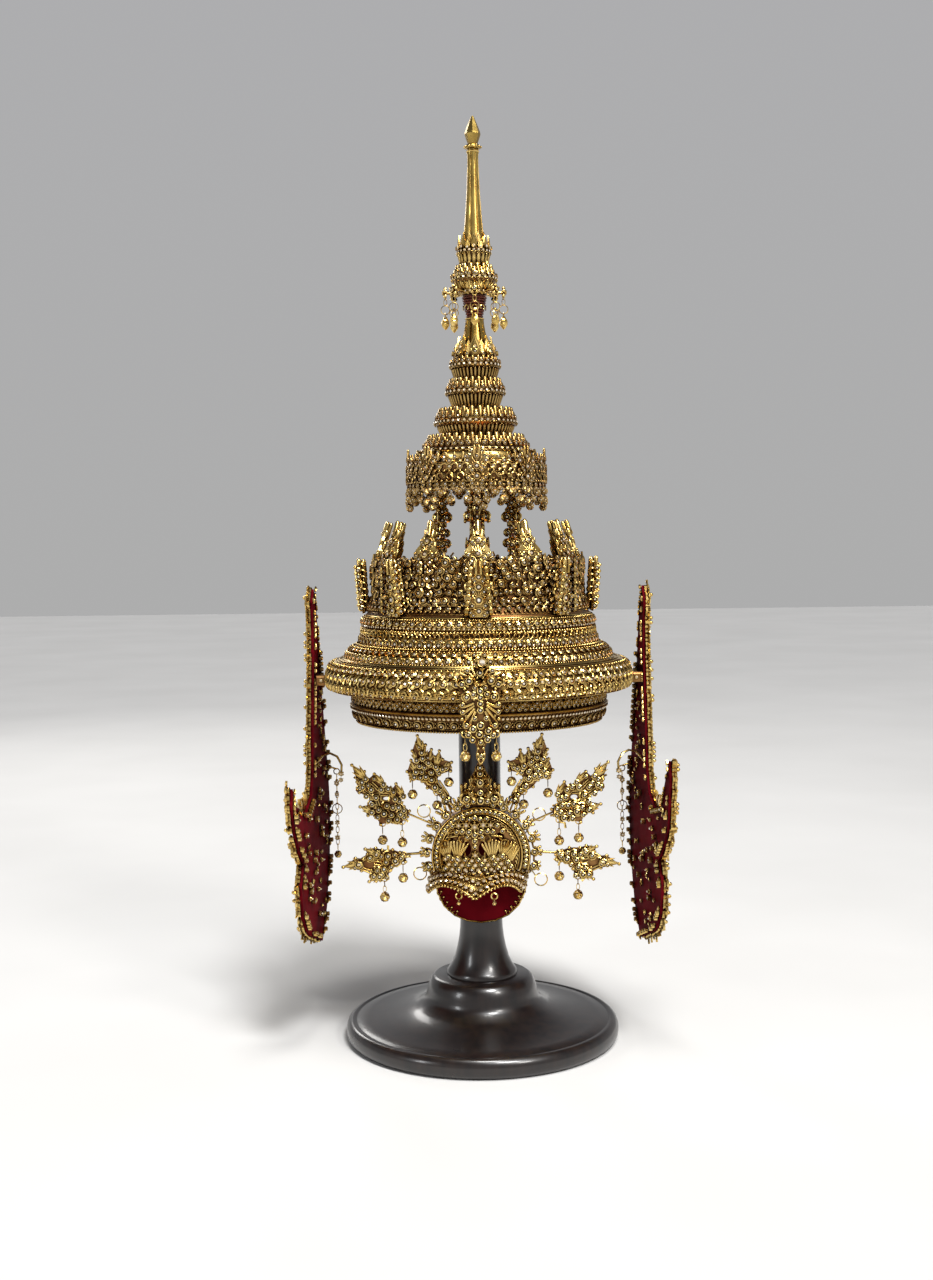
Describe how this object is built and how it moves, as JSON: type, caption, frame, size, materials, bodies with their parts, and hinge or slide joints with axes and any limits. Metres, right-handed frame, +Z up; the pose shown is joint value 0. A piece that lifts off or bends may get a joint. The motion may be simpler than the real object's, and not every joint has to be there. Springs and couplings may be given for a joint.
{
  "type": "thai headdress on a turned wooden stand",
  "caption": "Spired gilt dance headdress with stone-set tiers, a flame coronet, ear wings and a nape ornament, held on a round turned stand.",
  "frame": {"origin": "centre of the stand's flat underside", "axes": "+Z up along the stand's and the spire's axis; -Y is the nape side, +Y the brow side, X from ear to ear"},
  "size_m": [0.274, 0.2387, 0.702],
  "materials": {
    "gilt_metal": "polished gilt with stone-set relief",
    "red_lacquer": "gloss crimson lacquer",
    "dark_wood": "near-black gloss varnish"
  },
  "bodies": {
    "root": {"head_band": "gilt_metal", "flared_brim": "gilt_metal", "crown_steps": "gilt_metal", "crown_deck": "gilt_metal", "coronet_wall": "gilt_metal", "coronet_flame_01": "gilt_metal", "coronet_flame_02": "gilt_metal", "coronet_flame_03": "gilt_metal", "coronet_flame_04": "gilt_metal", "coronet_flame_05": "gilt_metal", "coronet_flame_06": "gilt_metal", "coronet_flame_07": "gilt_metal", "coronet_flame_08": "gilt_metal", "coronet_flame_09": "gilt_metal", "coronet_flame_10": "gilt_metal", "coronet_flame_11": "gilt_metal", "coronet_flame_12": "gilt_metal", "coronet_panel_01": "gilt_metal", "coronet_panel_02": "gilt_metal", "coronet_panel_03": "gilt_metal", "coronet_panel_04": "gilt_metal", "coronet_panel_05": "gilt_metal", "coronet_panel_06": "gilt_metal", "coronet_panel_07": "gilt_metal", "coronet_panel_08": "gilt_metal", "spire_leg_1": "gilt_metal", "spire_leg_2": "gilt_metal", "spire_leg_3": "gilt_metal", "spire_leg_4": "gilt_metal", "collar_band": "gilt_metal", "spire_collar": "gilt_metal", "collar_fringe": "gilt_metal", "tier_cup_lower": "gilt_metal", "tier_cup_middle": "gilt_metal", "tier_cup_upper": "gilt_metal", "lotus_bell": "gilt_metal", "canopy_neck": "gilt_metal", "canopy_ring": "gilt_metal", "spire_tier_lower": "gilt_metal", "spire_tier_upper": "gilt_metal", "spire_shaft": "gilt_metal", "finial_bud": "gilt_metal", "band_pendant": "gilt_metal", "nape_disc": "gilt_metal", "nape_hood": "gilt_metal", "nape_crest": "gilt_metal", "nape_spray_left_upper": "gilt_metal", "nape_spray_left_middle": "gilt_metal", "nape_spray_left_lower": "gilt_metal", "nape_spray_right_upper": "gilt_metal", "nape_spray_right_middle": "gilt_metal", "nape_spray_right_lower": "gilt_metal", "wing_bracket_left": "gilt_metal", "wing_bracket_right": "gilt_metal", "nape_plate": "red_lacquer", "ear_wing_left": "red_lacquer", "ear_wing_right": "red_lacquer", "stand_base": "dark_wood", "stand_post": "dark_wood", "stand_cap": "dark_wood"}
  },
  "joints": []
}
